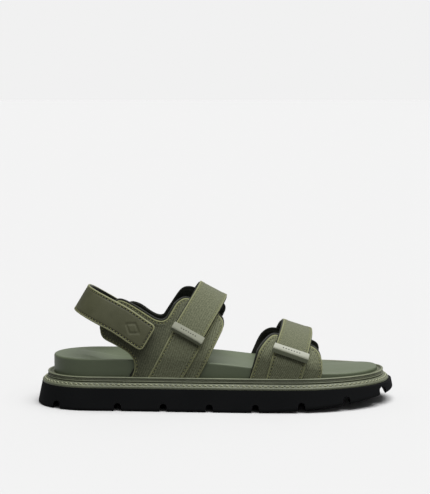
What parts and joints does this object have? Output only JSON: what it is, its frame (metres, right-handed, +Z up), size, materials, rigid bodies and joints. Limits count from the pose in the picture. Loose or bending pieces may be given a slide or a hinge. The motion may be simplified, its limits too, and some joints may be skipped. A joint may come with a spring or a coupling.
{
  "type": "strappy sport sandal",
  "caption": "Right-foot open sandal with a lugged sole, a moulded footbed and hook-and-loop straps over the forefoot, over the instep and round the heel.",
  "frame": {"origin": "centre of the bounding box's footprint, on the ground under the outsole", "axes": "+X points from the heel to the toe, +Y to the inner side of the foot and +Z up"},
  "size_m": [0.29, 0.1104, 0.098],
  "materials": {
    "outsole_rubber": "matte",
    "midsole_foam": "matte",
    "fibre_board": "matte",
    "moulded_green": "satin",
    "thread": "matte",
    "footbed_foam": "matte",
    "footbed_cover": "satin",
    "lining": "matte",
    "hook_and_loop": "matte",
    "tip": "satin",
    "smooth_leather": "satin",
    "canvas": "matte"
  },
  "bodies": {
    "sandal": {"outsole": "outsole_rubber", "midsole": "midsole_foam", "insole_board": "fibre_board", "welt": "moulded_green", "welt_stitching": "thread", "rand": "moulded_green", "footbed_core": "footbed_foam", "footbed_cover": "footbed_cover", "outer_quarter": "canvas", "outer_quarter_lining": "lining", "outer_instep_overlay": "canvas", "instep_loop_tape": "hook_and_loop", "heel_loop_tape": "hook_and_loop", "inner_quarter": "canvas", "inner_quarter_lining": "lining", "instep_strap_base": "canvas", "heel_strap_base": "smooth_leather", "outer_vamp": "canvas", "outer_vamp_lining": "lining", "outer_vamp_overlay": "canvas", "forefoot_loop_tape": "hook_and_loop", "inner_vamp": "canvas", "inner_vamp_lining": "lining", "forefoot_strap_base": "canvas"},
    "instep_strap": {"instep_strap": "canvas", "instep_strap_lining": "lining", "instep_hook_tape": "hook_and_loop", "instep_strap_tip": "tip"},
    "forefoot_strap": {"forefoot_strap": "canvas", "forefoot_strap_lining": "lining", "forefoot_hook_tape": "hook_and_loop", "forefoot_strap_tip": "tip"},
    "heel_strap": {"heel_strap": "smooth_leather", "heel_strap_lining": "lining", "heel_hook_tape": "hook_and_loop"}
  },
  "joints": [
    {"name": "instep_strap_open", "type": "hinge", "parent": "sandal", "child": "instep_strap", "pos_m": [-0.01237, 0.02715, 0.07542], "axis": [-0.8776, -0.1199, 0.4642], "range_deg": [0, 100]},
    {"name": "forefoot_strap_open", "type": "hinge", "parent": "sandal", "child": "forefoot_strap", "pos_m": [0.06295, 0.0377, 0.05205], "axis": [-0.9486, -0.0819, 0.3057], "range_deg": [0, 95]},
    {"name": "heel_strap_open", "type": "hinge", "parent": "sandal", "child": "heel_strap", "pos_m": [-0.08427, 0.03612, 0.06717], "axis": [-0.5142, 0.0559, -0.8558], "range_deg": [0, 75]}
  ]
}
